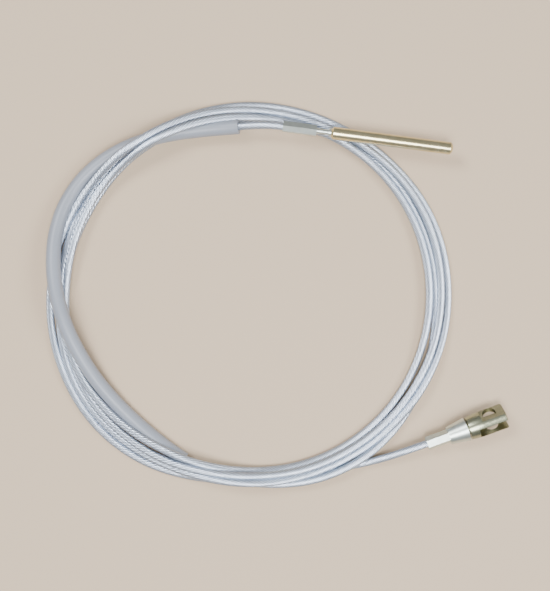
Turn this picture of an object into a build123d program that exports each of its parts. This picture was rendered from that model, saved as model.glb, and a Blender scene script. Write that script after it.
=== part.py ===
"""A pull cable: twisted wire rope coiled flat, with a sleeve over part of it,
a crimped rod on one end and a crimped fork on the other.

Millimetres.  +X runs along the fork from its shank to its tip, +Z is up, and
the cable lies on z = 0.  The origin is under the middle of the fittings and
the sleeve.
"""

import math
import os

from build123d import *

os.makedirs("parts", exist_ok=True)

# ---------------------------------------------------------------- the frame
COIL_X = -15.75             # centre of the coil
COIL_Y = 6.91

# ----------------------------------------------------------- driving sizes
ROPE_R = 2.125              # over the strands
SLEEVE_R = 4.15
SLEEVE_GAP = 0.02           # sleeve bore over the rope
CRIMP_GAP = 0.02            # rope in a crimped bore
SPIGOT_GAP = 0.02           # a turned spigot in its socket

COIL_TOP = 8.5              # two layers of rope
COIL_EDGE = 2.0             # rounding of the bundle's edges
CLIMB_TOP = 16.8            # two turns riding over the sleeve
CROSS_TOP = 12.6            # a third layer where turns cross
CLIMB_AT = 101.0            # degrees from +X, over the sleeve
CLIMB_INNER = 101.4         # radii that the two turns keep between
CLIMB_OUTER = 110.2
CLIMB_HALF = 34.0           # half of the hump's length at the coil's top
CROSS_AT = 245.0
CROSS_INNER = 99.5
CROSS_OUTER = 109.0
CROSS_HALF = 27.0

FERRULE_AF = 5.8            # rod end
FERRULE_LEN = 19.1
FERRULE_DEPTH = 10.0
NECK_R = 1.5
NECK_LEN = 7.0
COLLAR_R = 2.3
COLLAR_LEN = 1.3
ROD_SOCKET = 8.0
ROD_R = 3.5
ROD_LEN = 69.0
ROD_CHAMFER = 1.2
ROD_GAP = 1.2               # rod over the coil, room for a sleeve round it
ROD_Z = COIL_TOP + ROD_R + ROD_GAP
ROD_HEADING = -27.5         # degrees from +X
FERRULE_X = 51.5            # mouth of the rod's ferrule, from the coil centre
FERRULE_Y = 83.2

SHANK_AF = 6.8              # fork end
SHANK_LEN = 13.0
SHANK_DEPTH = 9.3
BELL_LEN = 11.0
BELL_R0 = 5.0
BELL_R1 = 6.8
BELL_SOCKET_R = 3.2
BELL_SOCKET_DEPTH = 8.0
FORK_START = 25.0           # from the shank's mouth
FORK_LEN = 22.0
FORK_R = 7.25
FORK_SHOULDER_R = 6.5
FORK_SHOULDER_LEN = 8.0
FORK_SHOULDER_BOW = 0.15    # the shoulder's swell over a straight cone
FORK_FLATS = 12.0
FORK_TIP_ROUND = 0.5
SLOT_W = 6.0
SLOT_DEPTH = 17.0
PIN_HOLE_R = 4.0
PIN_HOLE_BACK = 8.5         # from the tip
FORK_ROLL = 51.0            # degrees the pin hole leans from upright
CUT_OVER = 1.0              # how far a cut runs past the face it goes through
SHANK_X = 67.2              # mouth of the shank, from the coil centre
SHANK_Y = -114.1

# --------------------------------- where the rope runs, from the coil centre
ROD_DIR = Vector(math.cos(math.radians(ROD_HEADING)), math.sin(math.radians(ROD_HEADING)), 0)
FERRULE_MOUTH = Vector(COIL_X + FERRULE_X, COIL_Y + FERRULE_Y, ROD_Z)
SHANK_MOUTH = Vector(COIL_X + SHANK_X, COIL_Y + SHANK_Y, FORK_R)

LEAD_OUT = 3.0              # straight rope outside each crimp, to its first bend
TAIL_OUT = 6.7
LEAD_BENDS = [              # from the ferrule into the coil
    (41.5, 87.7, 12.3),
    (33.5, 90.5, 10.7),
    (22.5, 93.9, 8.6),
    (9.5, 97.6, 7.8),
    (-5.0, 101.0, 8.0),
    (-20.0, 103.2, 8.4),
    (-36.0, 103.5, 7.8),
    (-52.0, 101.2, 5.8),
    (-68.0, 95.0, 4.5),
    (-82.3, 83.8, 5.4),
    (-92.7, 68.5, 8.2),
    (-98.9, 51.5, 11.2),
    (-102.0, 34.0, 13.2),
    (-102.6, 17.0, 13.1),
    (-101.0, 1.0, 11.2),
    (-98.0, -14.5, 8.4),
    (-93.2, -29.0, 5.9),
    (-87.0, -43.0, 4.4),
    (-79.5, -56.7, 4.2),
    (-71.0, -70.0, 4.2),
    (-62.0, -81.5, 4.5),
]
LEAD_END = (-53.0, -89.4, 5.2)
SLEEVE_FROM = 2             # the sleeve's first and last bends in that list
SLEEVE_TO = 19

TAIL_START = (-4.0, -106.3, 2.15)
TAIL_BENDS = [
    (9.5, -109.6, 2.15),
    (22.0, -112.1, 2.3),
    (33.5, -113.6, 3.1),
    (45.0, -114.2, 5.0),
]

# The bundle's edges at every 20 degrees from +X, as radii from its centre.
BUNDLE_OUTER = [115.8, 113.1, 111.5, 110.9, 110.5, 110.4, 111.3, 113.0, 114.7,
                115.6, 115.7, 112.9, 109.2, 111.1, 115.0, 114.6, 114.9, 116.1]
BUNDLE_INNER = [101.3, 101.2, 100.3, 97.8, 98.2, 100.9, 101.3, 101.3, 101.6,
                102.6, 99.0, 98.3, 97.5, 97.9, 99.5, 100.8, 101.3, 101.0]
BUNDLE_STEP = 20.0


def at_coil(point):
    """A point given from the coil's centre, in the part's own frame."""
    return Vector(COIL_X + point[0], COIL_Y + point[1], point[2])


def bend_radii(points):
    """The largest arc that fits at each bend: 0.45 of the shorter run over
    the tangent of half the turn."""
    radii = []
    for before, here, after in zip(points, points[1:], points[2:]):
        run_in = here - before
        run_out = after - here
        half_turn = math.radians(run_in.get_angle(run_out)) / 2
        radii.append(0.45 * min(run_in.length, run_out.length) / math.tan(half_turn))
    return radii


LEAD = [FERRULE_MOUTH + ROD_DIR * FERRULE_DEPTH, FERRULE_MOUTH - ROD_DIR * LEAD_OUT]
LEAD += [at_coil(p) for p in LEAD_BENDS] + [at_coil(LEAD_END)]
TAIL = [at_coil(TAIL_START)] + [at_coil(p) for p in TAIL_BENDS]
TAIL += [SHANK_MOUTH - Vector(TAIL_OUT, 0, 0), SHANK_MOUTH + Vector(SHANK_DEPTH, 0, 0)]
LEAD_RADII = bend_radii(LEAD)
TAIL_RADII = bend_radii(TAIL)

# The sleeve shares the rope's own bends and ends in the middle of a run.
SLEEVE_FIRST = SLEEVE_FROM + 2
SLEEVE_LAST = SLEEVE_TO + 2
SLEEVE = [(LEAD[SLEEVE_FIRST - 1] + LEAD[SLEEVE_FIRST]) * 0.5]
SLEEVE += LEAD[SLEEVE_FIRST:SLEEVE_LAST + 1]
SLEEVE += [(LEAD[SLEEVE_LAST] + LEAD[SLEEVE_LAST + 1]) * 0.5]
SLEEVE_RADII = LEAD_RADII[SLEEVE_FIRST - 1:SLEEVE_LAST]


def start_plane(points):
    """The plane across a route's start."""
    return Plane(origin=points[0], z_dir=points[1] - points[0])


# ------------------------------------------------------------ rope in a lead
with BuildPart() as rope_lead:
    with BuildLine() as lead_route:
        FilletPolyline(*LEAD, radius=LEAD_RADII)
    with BuildSketch(start_plane(LEAD)):
        Circle(ROPE_R)
    sweep(path=lead_route.line)
rope_lead.part.label = "rope_lead"
export_step(rope_lead.part, "parts/rope_lead.step")
lead_length = lead_route.wires()[0].length

# ------------------------------------------------------------ rope in a tail
with BuildPart() as rope_tail:
    with BuildLine() as tail_route:
        FilletPolyline(*TAIL, radius=TAIL_RADII)
    with BuildSketch(start_plane(TAIL)):
        Circle(ROPE_R)
    sweep(path=tail_route.line)
rope_tail.part.label = "rope_tail"
export_step(rope_tail.part, "parts/rope_tail.step")
tail_length = tail_route.wires()[0].length

# -------------------------------------------------------------------- sleeve
with BuildPart() as sleeve:
    with BuildLine() as sleeve_route:
        FilletPolyline(*SLEEVE, radius=SLEEVE_RADII)
    with BuildSketch(start_plane(SLEEVE)):
        Circle(SLEEVE_R)
        Circle(ROPE_R + SLEEVE_GAP, mode=Mode.SUBTRACT)
    sweep(path=sleeve_route.line)
sleeve.part.label = "sleeve"
export_step(sleeve.part, "parts/sleeve.step")
sleeve_length = sleeve_route.wires()[0].length

# ---------------------------------------------------------------------- coil
def bundle_points(radii):
    """Points round the coil at the stated radii, one every BUNDLE_STEP."""
    points = []
    for i, radius in enumerate(radii):
        angle = math.radians(i * BUNDLE_STEP)
        points.append((COIL_X + radius * math.cos(angle), COIL_Y + radius * math.sin(angle)))
    return points


def climb(angle, inner, outer, low, high, half_span):
    """A hump where turns ride over what lies under them: a piece of ring
    whose top is part of a wide cylinder lying along the coil's radius."""
    rise = high - COIL_TOP
    bow = (half_span ** 2 + rise ** 2) / (2 * rise)
    across = Plane(
        origin=(COIL_X, COIL_Y, high - bow),
        x_dir=(-math.sin(math.radians(angle)), math.cos(math.radians(angle)), 0),
        z_dir=(math.cos(math.radians(angle)), math.sin(math.radians(angle)), 0),
    )
    with BuildPart() as hump:
        with BuildSketch(Plane.XY.offset(low)):
            with Locations((COIL_X, COIL_Y)):
                Circle(outer)
                Circle(inner, mode=Mode.SUBTRACT)
        extrude(amount=high)
        with BuildSketch(across):
            Circle(bow)
        extrude(amount=2 * outer, mode=Mode.INTERSECT)
    return hump.part


with BuildPart() as rope_coil:
    with BuildSketch():
        with BuildLine():
            Spline(*bundle_points(BUNDLE_OUTER), periodic=True)
        make_face()
        with BuildLine():
            Spline(*bundle_points(BUNDLE_INNER), periodic=True)
        make_face(mode=Mode.SUBTRACT)
    extrude(amount=COIL_TOP)
    fillet(rope_coil.edges().group_by(Axis.Z)[0] + rope_coil.edges().group_by(Axis.Z)[-1], COIL_EDGE)
    add(climb(CLIMB_AT, CLIMB_INNER, CLIMB_OUTER, COIL_TOP / 2, CLIMB_TOP, CLIMB_HALF))
    add(climb(CROSS_AT, CROSS_INNER, CROSS_OUTER, COIL_TOP / 2, CROSS_TOP, CROSS_HALF))
rope_coil.part.label = "rope_coil"
export_step(rope_coil.part, "parts/rope_coil.step")

# ------------------------------------------------------------- rod's ferrule
FERRULE_PLANE = Plane(origin=FERRULE_MOUTH, x_dir=(0, 0, 1), z_dir=ROD_DIR)

with BuildPart() as rod_ferrule:
    with BuildSketch(FERRULE_PLANE):
        RegularPolygon(FERRULE_AF / 2, 6, major_radius=False)
    extrude(amount=FERRULE_LEN)
    with BuildSketch(FERRULE_PLANE.offset(FERRULE_LEN)):
        Circle(NECK_R)
    extrude(amount=NECK_LEN + COLLAR_LEN + ROD_SOCKET)
    with BuildSketch(FERRULE_PLANE.offset(FERRULE_LEN + NECK_LEN)):
        Circle(COLLAR_R)
    extrude(amount=COLLAR_LEN)
    with BuildSketch(FERRULE_PLANE):
        Circle(ROPE_R + CRIMP_GAP)
    extrude(amount=FERRULE_DEPTH, mode=Mode.SUBTRACT)
rod_ferrule.part.label = "rod_ferrule"
export_step(rod_ferrule.part, "parts/rod_ferrule.step")

# ----------------------------------------------------------------------- rod
ROD_PLANE = FERRULE_PLANE.offset(FERRULE_LEN + NECK_LEN + COLLAR_LEN)

with BuildPart() as end_rod:
    with BuildSketch(ROD_PLANE):
        Circle(ROD_R)
    extrude(amount=ROD_LEN)
    chamfer(end_rod.edges().filter_by(GeomType.CIRCLE), ROD_CHAMFER)
    with BuildSketch(ROD_PLANE):
        Circle(NECK_R + SPIGOT_GAP)
    extrude(amount=ROD_SOCKET, mode=Mode.SUBTRACT)
end_rod.part.label = "end_rod"
export_step(end_rod.part, "parts/end_rod.step")

# ------------------------------------------------------------ fork's ferrule
SHANK_PLANE = Plane(origin=SHANK_MOUTH, x_dir=(0, 1, 0), z_dir=(1, 0, 0))
SOCKET_BOTTOM = SHANK_LEN + BELL_LEN - BELL_SOCKET_DEPTH

with BuildPart() as clevis_ferrule:
    with BuildSketch(SHANK_PLANE):
        RegularPolygon(SHANK_AF / 2, 6, major_radius=False)
    extrude(amount=SHANK_LEN)
    with BuildSketch(SHANK_PLANE.offset(SHANK_LEN)):
        Circle(BELL_R0)
    with BuildSketch(SHANK_PLANE.offset(SHANK_LEN + BELL_LEN)):
        Circle(BELL_R1)
    loft()
    with BuildSketch(SHANK_PLANE):
        Circle(ROPE_R + CRIMP_GAP)
    extrude(amount=SHANK_DEPTH, mode=Mode.SUBTRACT)
    with BuildSketch(SHANK_PLANE.offset(SOCKET_BOTTOM)):
        Circle(BELL_SOCKET_R)
    extrude(amount=BELL_SOCKET_DEPTH, mode=Mode.SUBTRACT)
clevis_ferrule.part.label = "clevis_ferrule"
export_step(clevis_ferrule.part, "parts/clevis_ferrule.step")

# ---------------------------------------------------------------------- fork
PIN_X = FORK_START + FORK_LEN - PIN_HOLE_BACK
PIN_AXIS = Vector(0, math.sin(math.radians(FORK_ROLL)), math.cos(math.radians(FORK_ROLL)))
SLOT_PLANE = Plane(origin=SHANK_MOUTH, x_dir=(1, 0, 0), z_dir=PIN_AXIS)

with BuildPart() as clevis_fork:
    with BuildSketch(Plane(origin=SHANK_MOUTH, x_dir=(1, 0, 0), z_dir=(0, -1, 0))):
        with BuildLine():
            Polyline(
                (SOCKET_BOTTOM, 0),
                (SOCKET_BOTTOM, BELL_SOCKET_R - SPIGOT_GAP),
                (FORK_START, BELL_SOCKET_R - SPIGOT_GAP),
                (FORK_START, FORK_SHOULDER_R),
            )
            ThreePointArc(
                (FORK_START, FORK_SHOULDER_R),
                (FORK_START + FORK_SHOULDER_LEN / 2, (FORK_R + FORK_SHOULDER_R) / 2 + FORK_SHOULDER_BOW),
                (FORK_START + FORK_SHOULDER_LEN, FORK_R),
            )
            Polyline(
                (FORK_START + FORK_SHOULDER_LEN, FORK_R),
                (FORK_START + FORK_LEN - FORK_TIP_ROUND, FORK_R),
                (FORK_START + FORK_LEN, FORK_R - FORK_TIP_ROUND),
                (FORK_START + FORK_LEN, 0),
                (SOCKET_BOTTOM, 0),
            )
        make_face()
    revolve(axis=Axis(SHANK_MOUTH, (1, 0, 0)))
    with BuildSketch(SLOT_PLANE.offset(FORK_FLATS / 2), SLOT_PLANE.offset(-FORK_R - CUT_OVER)):
        with Locations((FORK_START + FORK_LEN / 2 + FORK_SHOULDER_LEN, 0)):
            Rectangle(FORK_LEN, 4 * FORK_R)
    extrude(amount=FORK_R + CUT_OVER - FORK_FLATS / 2, mode=Mode.SUBTRACT)
    with BuildSketch(SLOT_PLANE.offset(-SLOT_W / 2)):
        with Locations((FORK_START + FORK_LEN - SLOT_DEPTH / 2 + CUT_OVER / 2, 0)):
            Rectangle(SLOT_DEPTH + CUT_OVER, 4 * FORK_R)
    extrude(amount=SLOT_W, mode=Mode.SUBTRACT)
    with BuildSketch(SLOT_PLANE.offset(-2 * FORK_R)):
        with Locations((PIN_X, 0)):
            Circle(PIN_HOLE_R)
    extrude(amount=4 * FORK_R, mode=Mode.SUBTRACT)
clevis_fork.part.label = "clevis_fork"
export_step(clevis_fork.part, "parts/clevis_fork.step")

# ------------------------------------------------------------------ printout
for title, radii in (("lead", LEAD_RADII), ("tail", TAIL_RADII)):
    print(title, "bend radii", [round(r, 1) for r in radii])
section = math.pi * ROPE_R ** 2
print("lead", round(lead_length, 1), "volume ratio", round(rope_lead.part.volume / (section * lead_length), 4))
print("tail", round(tail_length, 1), "volume ratio", round(rope_tail.part.volume / (section * tail_length), 4))
wall = math.pi * (SLEEVE_R ** 2 - (ROPE_R + SLEEVE_GAP) ** 2)
print("sleeve", round(sleeve_length, 1), "volume ratio", round(sleeve.part.volume / (wall * sleeve_length), 4))
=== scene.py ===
"""Looks for the pull cable: a twisted wire rope coiled flat, its sleeve, and
the crimped rod and fork on its ends.  Metres; +X along the fork, +Z up."""

import math

import bpy
import numpy as np
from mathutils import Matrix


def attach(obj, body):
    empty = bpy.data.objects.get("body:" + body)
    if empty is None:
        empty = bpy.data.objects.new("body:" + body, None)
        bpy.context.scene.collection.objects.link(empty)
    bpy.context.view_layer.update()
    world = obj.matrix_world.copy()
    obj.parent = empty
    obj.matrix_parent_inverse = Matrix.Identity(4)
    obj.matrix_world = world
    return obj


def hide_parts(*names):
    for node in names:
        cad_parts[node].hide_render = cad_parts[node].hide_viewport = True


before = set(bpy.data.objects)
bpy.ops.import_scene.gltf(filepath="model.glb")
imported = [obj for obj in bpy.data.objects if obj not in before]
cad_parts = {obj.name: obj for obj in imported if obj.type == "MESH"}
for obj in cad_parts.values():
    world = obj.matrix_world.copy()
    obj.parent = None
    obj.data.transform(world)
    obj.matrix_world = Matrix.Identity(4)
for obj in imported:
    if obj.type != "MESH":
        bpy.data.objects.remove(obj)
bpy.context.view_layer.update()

MM = 0.001
COIL = np.array([-15.75, 6.91, 0.0]) * MM
ROPE_R = 2.125 * MM
ROPE_LAY = 34 * MM
WIRES = 12                  # in the outer layer

# Rod ferrule's mouth and heading, and the fork shank's mouth.
ROD_HEADING = math.radians(-27.5)
ROD_DIR = np.array([math.cos(ROD_HEADING), math.sin(ROD_HEADING), 0.0])
FERRULE_MOUTH = COIL + np.array([51.5, 83.2, 13.2]) * MM
SHANK_MOUTH = COIL + np.array([67.2, -114.1, 7.25]) * MM
FERRULE_DEPTH = 10 * MM
SHANK_DEPTH = 9.3 * MM

# The rope's route in millimetres from the coil's centre.  First the lead.
LEAD_BENDS = [
    (48.8, 84.6, 13.2), (41.5, 87.7, 12.3), (33.5, 90.5, 10.7), (22.5, 93.9, 8.6),
    (9.5, 97.6, 7.8), (-5.0, 101.0, 8.0), (-20.0, 103.2, 8.4), (-36.0, 103.5, 7.8),
    (-52.0, 101.2, 5.8), (-68.0, 95.0, 4.5), (-82.3, 83.8, 5.4), (-92.7, 68.5, 8.2),
    (-98.9, 51.5, 11.2), (-102.0, 34.0, 13.2), (-102.6, 17.0, 13.1), (-101.0, 1.0, 11.2),
    (-98.0, -14.5, 8.4), (-93.2, -29.0, 5.9), (-87.0, -43.0, 4.4), (-79.5, -56.7, 4.2),
    (-71.0, -70.0, 4.2), (-62.0, -81.5, 4.5),
]
# Then the turns: (angle from +X in degrees, radius, height).
TURNS = [
    # lowest turn, out to the right
    (240, 103.9, 5.1), (248, 106, 6.3), (260, 109.5, 5.2), (272, 112.5, 5.6), (283, 113.5, 6.3),
    (293, 114, 4.4), (302, 113.5, 2.2), (318, 111, 2.1), (336, 108, 2.1),
    # second turn
    (360, 107.5, 2.1), (385, 106.5, 2.1), (400, 104, 2.1), (424, 101, 2.1), (440, 102, 2.1),
    (462, 104, 2.1), (498, 104, 2.1), (512, 106, 2.1), (530, 110, 2.1), (547, 112, 2.1),
    (562, 111, 2.4), (578, 108.5, 4.2), (590, 106.8, 7), (600, 106.3, 9.6), (608, 106.3, 10.5),
    (616, 106.8, 8.8), (628, 107.6, 6.2), (642, 109, 4.4), (652, 110.4, 3.8), (660, 111.4, 4.8),
    (668, 112.3, 6.3), (680, 113.6, 5.2), (692, 114.8, 2.4),
    # third turn
    (705, 115, 2.1), (725, 114.5, 2.1), (745, 112, 2.1), (765, 110.3, 2.1), (790, 109.6, 2.1),
    (820, 108.7, 2.1), (850, 108.3, 2.1), (862, 108, 2.8), (876, 107.6, 6), (890, 107.3, 6.6),
    (905, 106, 6.8), (920, 103.3, 7.5), (930, 101.4, 8.7), (940, 99.6, 10.2), (950, 99.2, 10.2),
    (960, 99.4, 7.4), (972, 100.4, 3.4), (985, 101.5, 2.1), (1010, 103, 2.1), (1035, 104, 2.4),
    # fourth turn, over the sleeve
    (1050, 104, 4.1), (1065, 104, 4.6), (1095, 104, 4.7), (1110, 103.4, 6.3), (1130, 102.5, 6.3),
    (1144, 102, 6.3), (1155, 102, 9), (1163, 102, 11.6), (1170, 102, 13.4), (1177, 102.2, 14.6),
    (1184, 102.6, 13.4), (1191, 103.4, 10.2), (1200, 104.2, 7), (1225, 104, 6.3), (1238, 104.2, 5),
    (1250, 106, 2.4), (1260, 108, 2.3), (1270, 108.4, 3.8), (1288, 106.7, 5.4), (1300, 105.2, 8),
    (1310, 103.7, 9.6), (1320, 102.5, 9.9), (1332, 102.7, 8.4), (1345, 103.7, 8.3),
    (1358, 104.8, 6.7), (1372, 106.5, 4.9), (1386, 108.2, 5), (1398, 109.2, 6.3), (1412, 110.2, 5),
    # last turn, over the sleeve and down
    (1430, 111, 4.7), (1445, 111, 5.4), (1458, 109.8, 6.4), (1472, 108, 5.8), (1486, 106.5, 4.7),
    (1505, 106.3, 5.2), (1520, 106.8, 7), (1532, 107, 10.2), (1540, 107, 13.2), (1547, 107.2, 14.7),
    (1554, 108, 12.8), (1562, 109.3, 8.8), (1570, 110.6, 5.8), (1582, 112.4, 3), (1598, 114, 2.1),
    (1620, 115.2, 2.1), (1642, 115, 2.1), (1658, 112.6, 2.1), (1672, 109, 2.1), (1686, 106.2, 2.1),
    (1696, 105.3, 2.1), (1704, 105.9, 2.1), (1712, 108.6, 2.1),
]
TURN_STEP = 7.0             # degrees between the route's points in the turns
TAIL_BENDS = [(22.0, -112.1, 2.3), (33.5, -113.6, 3.1), (45.0, -114.2, 5.0), (60.5, -114.1, 7.25)]


def turn_points():
    """The turns as points, a smooth curve through the keys: a cubic between
    each pair, whose slope at a key is that of the chord across it."""
    keys = np.array(TURNS, float)
    angle, value = keys[:, 0], keys[:, 1:]
    slope = np.gradient(value, angle, axis=0)
    points = []
    for a in np.arange(angle[0], angle[-1] + 0.5, TURN_STEP):
        i = min(int(np.searchsorted(angle, a, side="right")) - 1, len(angle) - 2)
        gap = angle[i + 1] - angle[i]
        t = (a - angle[i]) / gap
        radius, height = (
            (2 * t**3 - 3 * t**2 + 1) * value[i]
            + (t**3 - 2 * t**2 + t) * gap * slope[i]
            + (3 * t**2 - 2 * t**3) * value[i + 1]
            + (t**3 - t**2) * gap * slope[i + 1]
        )
        radius /= math.cos(math.radians(TURN_STEP / 2))
        height = max(height, 2.15)
        points.append((radius * math.cos(math.radians(a)), radius * math.sin(math.radians(a)), height))
    return points


def centreline(name, points, step):
    """Points along the smooth spline that takes these as its control points."""
    curve = bpy.data.curves.new(name, "CURVE")
    curve.dimensions = "3D"
    spline = curve.splines.new("NURBS")
    spline.points.add(len(points) - 1)
    for point, place in zip(spline.points, points):
        point.co = (*place, 1.0)
    spline.order_u = 3
    spline.use_endpoint_u = True
    curve.resolution_u = 12
    holder = bpy.data.objects.new(name, curve)
    line = bpy.data.meshes.new_from_object(holder)
    path = np.zeros(len(line.vertices) * 3)
    line.vertices.foreach_get("co", path)
    path = path.reshape(-1, 3)
    bpy.data.objects.remove(holder)
    bpy.data.curves.remove(curve)
    bpy.data.meshes.remove(line)
    run = np.concatenate([[0], np.cumsum(np.linalg.norm(np.diff(path, axis=0), axis=1))])
    even = np.linspace(0, run[-1], int(run[-1] / step) + 1)
    return np.column_stack([np.interp(even, run, path[:, k]) for k in range(3)]), even


def grid_mesh(name, verts, rows, columns, uv):
    """A closed tube of rows by columns with flat ends, and a UV per corner."""
    i, j = np.meshgrid(np.arange(rows - 1), np.arange(columns), indexing="ij")
    k = (j + 1) % columns
    quads = np.stack([i * columns + j, i * columns + k, (i + 1) * columns + k, (i + 1) * columns + j], -1).reshape(-1, 4)
    faces = [tuple(q) for q in quads.tolist()]
    faces.append(tuple(range(columns - 1, -1, -1)))
    faces.append(tuple(range((rows - 1) * columns, rows * columns)))
    mesh = bpy.data.meshes.new(name)
    mesh.from_pydata(verts.reshape(-1, 3).tolist(), [], faces)
    layer = mesh.uv_layers.new(name="wound")
    u = np.stack([j, j + 1, j + 1, j], -1).reshape(-1) / columns
    v = np.stack([uv[i], uv[i], uv[i + 1], uv[i + 1]], -1).reshape(-1)
    flat = np.zeros((len(mesh.loops), 2))
    flat[: len(u)] = np.column_stack([u, v])
    layer.data.foreach_set("uv", flat.ravel())
    mesh.polygons.foreach_set("use_smooth", [True] * len(quads) + [False, False])
    mesh.update()
    return mesh


def rope_mesh(name, path, run):
    """A wire rope: each ring is the outline of the outer wires set in a
    circle, and turns once in a lay length as it goes along."""
    columns = 4 * WIRES
    tangent = np.gradient(path, axis=0)
    tangent /= np.linalg.norm(tangent, axis=1)[:, None]
    side = np.cross(tangent, [0, 0, 1.0])
    side /= np.linalg.norm(side, axis=1)[:, None]
    up = np.cross(side, tangent)
    wire = ROPE_R / 5
    pitch = 2 * math.pi / WIRES
    around = np.arange(columns) * 2 * math.pi / columns
    off = (around + pitch / 2) % pitch - pitch / 2
    reach = 4 * wire * np.cos(off) + np.sqrt(np.maximum(wire**2 - (4 * wire * np.sin(off)) ** 2, 0))
    turn = around[None, :] + 2 * math.pi * run[:, None] / ROPE_LAY
    ring = reach[None, :, None] * (np.cos(turn)[..., None] * side[:, None] + np.sin(turn)[..., None] * up[:, None])
    return grid_mesh(name, path[:, None] + ring, len(path), columns, run / ROPE_LAY)


def points_in_metres(points):
    return [tuple(COIL + np.array(p) * MM) for p in points]


class Val:
    """A shader socket with arithmetic."""

    def __init__(self, tree, socket):
        self.tree = tree
        self.socket = socket

    def node(self, kind, **inputs):
        made = self.tree.nodes.new(kind)
        for key, value in inputs.items():
            self.put(made.inputs[key.replace("_", " ")], value)
        return made

    def put(self, socket, value):
        if isinstance(value, Val):
            self.tree.links.new(value.socket, socket)
        else:
            socket.default_value = value

    def maths(self, operation, *values):
        made = self.tree.nodes.new("ShaderNodeMath")
        made.operation = operation
        for socket, value in zip(made.inputs, values):
            self.put(socket, value)
        return Val(self.tree, made.outputs[0])

    def __add__(self, other):
        return self.maths("ADD", self, other)

    __radd__ = __add__

    def __mul__(self, other):
        return self.maths("MULTIPLY", self, other)

    __rmul__ = __mul__

    def __sub__(self, other):
        return self.maths("SUBTRACT", self, other)

    def __rsub__(self, other):
        return self.maths("SUBTRACT", other, self)

    def cos(self):
        return self.maths("COSINE", self)

    def mix(self, low, high):
        """From colour low at 0 to colour high at 1."""
        made = self.tree.nodes.new("ShaderNodeMix")
        made.data_type = "RGBA"
        self.put(made.inputs[0], self)
        self.put(made.inputs[6], (*low, 1))
        self.put(made.inputs[7], (*high, 1))
        return Val(self.tree, made.outputs[2])


def material(name, rough, metal):
    made = bpy.data.materials.new(name)
    made.use_nodes = True
    shader = made.node_tree.nodes["Principled BSDF"]
    shader.inputs["Roughness"].default_value = rough
    shader.inputs["Metallic"].default_value = metal
    return made, made.node_tree, shader


def noise(tree, scale, detail=3.0):
    """Noise over the object's own coordinates."""
    place = tree.nodes.new("ShaderNodeTexCoord")
    made = tree.nodes.new("ShaderNodeTexNoise")
    made.inputs["Scale"].default_value = scale
    made.inputs["Detail"].default_value = detail
    tree.links.new(place.outputs["Object"], made.inputs["Vector"])
    return Val(tree, made.outputs["Fac"])


def bump(tree, shader, height, strength, distance):
    made = tree.nodes.new("ShaderNodeBump")
    made.inputs["Strength"].default_value = strength
    made.inputs["Distance"].default_value = distance
    tree.links.new(height.socket, made.inputs["Height"])
    tree.links.new(made.outputs["Normal"], shader.inputs["Normal"])


def plated(name, low, high, rough, metal=1.0, scale=260):
    """Plated steel: two close tones mottled together, with a faint grain."""
    made, tree, shader = material(name, rough, metal)
    grain = noise(tree, scale)
    Val(tree, None).put(shader.inputs["Base Color"], grain.mix(low, high))
    bump(tree, shader, grain, 0.12, 0.0002)
    return made


def wire_rope():
    """Galvanised wires, with painted shade darkening the valleys between them, and a patchy zinc bloom."""
    made, tree, shader = material("rope_steel", 0.30, 0.9)
    uv = tree.nodes.new("ShaderNodeUVMap")
    uv.uv_map = "wound"
    split = tree.nodes.new("ShaderNodeSeparateXYZ")
    tree.links.new(uv.outputs[0], split.inputs[0])
    u = Val(tree, split.outputs[0])
    # painted shade: the base colour darkens in the valleys between the outer wires, where shade falls
    painted_valley_shade = (u * (2 * math.pi * WIRES)).cos() * 0.5 + 0.5
    bloom = noise(tree, 420)
    # mix factor: painted valley shade plus the zinc bloom's random tone
    valley_shade_and_bloom = painted_valley_shade * 0.6 + bloom * 0.5
    u.put(shader.inputs["Base Color"], valley_shade_and_bloom.mix((0.27, 0.33, 0.43), (0.78, 0.86, 0.98)))
    bump(tree, shader, bloom, 0.15, 0.0002)
    return made


def plastic(name, low, high):
    made, tree, shader = material(name, 0.38, 0.0)
    grain = noise(tree, 35)
    grain.put(shader.inputs["Base Color"], grain.mix(low, high))
    bump(tree, shader, noise(tree, 900), 0.05, 0.0001)
    return made


# ------------------------------------------------------------------- the rope
route = [tuple(FERRULE_MOUTH + ROD_DIR * FERRULE_DEPTH)]
route += points_in_metres(LEAD_BENDS)
route += points_in_metres(turn_points())
route += points_in_metres(TAIL_BENDS)
route += [tuple(SHANK_MOUTH + np.array([SHANK_DEPTH, 0, 0]))]
rope_path, rope_run = centreline("rope_route", route, 2 * MM)
rope = bpy.data.objects.new("rope", rope_mesh("rope", rope_path, rope_run))
bpy.context.scene.collection.objects.link(rope)
rope.data.materials.append(wire_rope())
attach(rope, "root")
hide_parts("rope_lead", "rope_coil", "rope_tail")

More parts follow.
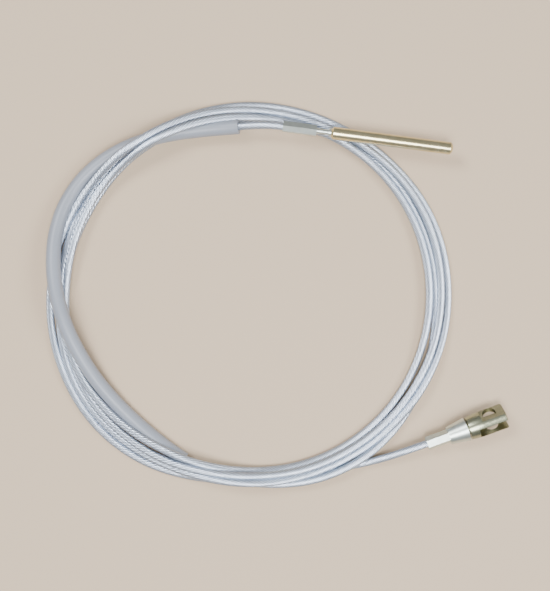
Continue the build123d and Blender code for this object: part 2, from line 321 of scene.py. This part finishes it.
# --------------------------------------------------------------- the CAD nodes
SILVER = plated("crimp_zinc", (0.56, 0.62, 0.58), (0.78, 0.85, 0.80), 0.36)
YELLOW = plated("rod_zinc", (0.60, 0.52, 0.28), (0.84, 0.76, 0.50), 0.25)
GREEN = plated("fork_zinc", (0.26, 0.28, 0.19), (0.46, 0.47, 0.34), 0.27)
GREY = plastic("sleeve_plastic", (0.27, 0.30, 0.35), (0.33, 0.36, 0.42))
LOOKS = {
    "sleeve": (GREY, "sleeve"),
    "rod_ferrule": (SILVER, "crimp"),
    "clevis_ferrule": (SILVER, "crimp"),
    "end_rod": (YELLOW, "rod"),
    "clevis_fork": (GREEN, "fork"),
}
for name, (look, slot_name) in LOOKS.items():
    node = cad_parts[name]
    node.data.materials.clear()
    node.data.materials.append(look)

# ------------------------------------------------------ floor, light and camera
floor_mesh = bpy.data.meshes.new("floor")
floor_mesh.from_pydata([(-4, -4, 0), (4, -4, 0), (4, 4, 0), (-4, 4, 0)], [], [(0, 1, 2, 3)])
floor = bpy.data.objects.new("floor", floor_mesh)
bpy.context.scene.collection.objects.link(floor)
floor_look, _, floor_shader = material("floor", 0.9, 0.0)
floor_shader.inputs["Base Color"].default_value = (0.64, 0.50, 0.36, 1)
floor_mesh.materials.append(floor_look)


def softbox(name, place, aim, size, power):
    light = bpy.data.lights.new(name, "AREA")
    light.size = size
    light.energy = power
    lamp = bpy.data.objects.new(name, light)
    bpy.context.scene.collection.objects.link(lamp)
    lamp.location = place
    to = np.array(aim) - np.array(place)
    lamp.rotation_euler = (
        math.atan2(math.hypot(to[0], to[1]), -to[2]),
        0,
        math.atan2(to[1], to[0]) - math.pi / 2,
    )


softbox("key", (-0.5, 0.9, 1.3), (0, 0, 0), 0.6, 17)
softbox("top", (-0.12, -0.33, 1.2), (0, 0, 0), 0.5, 16)
softbox("fill", (0.9, -0.6, 1.1), (0, 0, 0), 0.6, 14)
world = bpy.data.worlds.new("studio")
bpy.context.scene.world = world
world.use_nodes = True
world.node_tree.nodes["Background"].inputs["Color"].default_value = (0.93, 0.95, 1.0, 1)
world.node_tree.nodes["Background"].inputs["Strength"].default_value = 0.36

camera = bpy.data.cameras.new("camera")
camera.lens = 60.06
camera.sensor_width = 36
camera.sensor_fit = "AUTO"
eye = bpy.data.objects.new("camera", camera)
bpy.context.scene.collection.objects.link(eye)
eye.location = (COIL[0] + 14.56 * MM, COIL[1] - 5.0 * MM, 0.57)
eye.rotation_euler = (0, 0, math.radians(-20))
bpy.context.scene.camera = eye
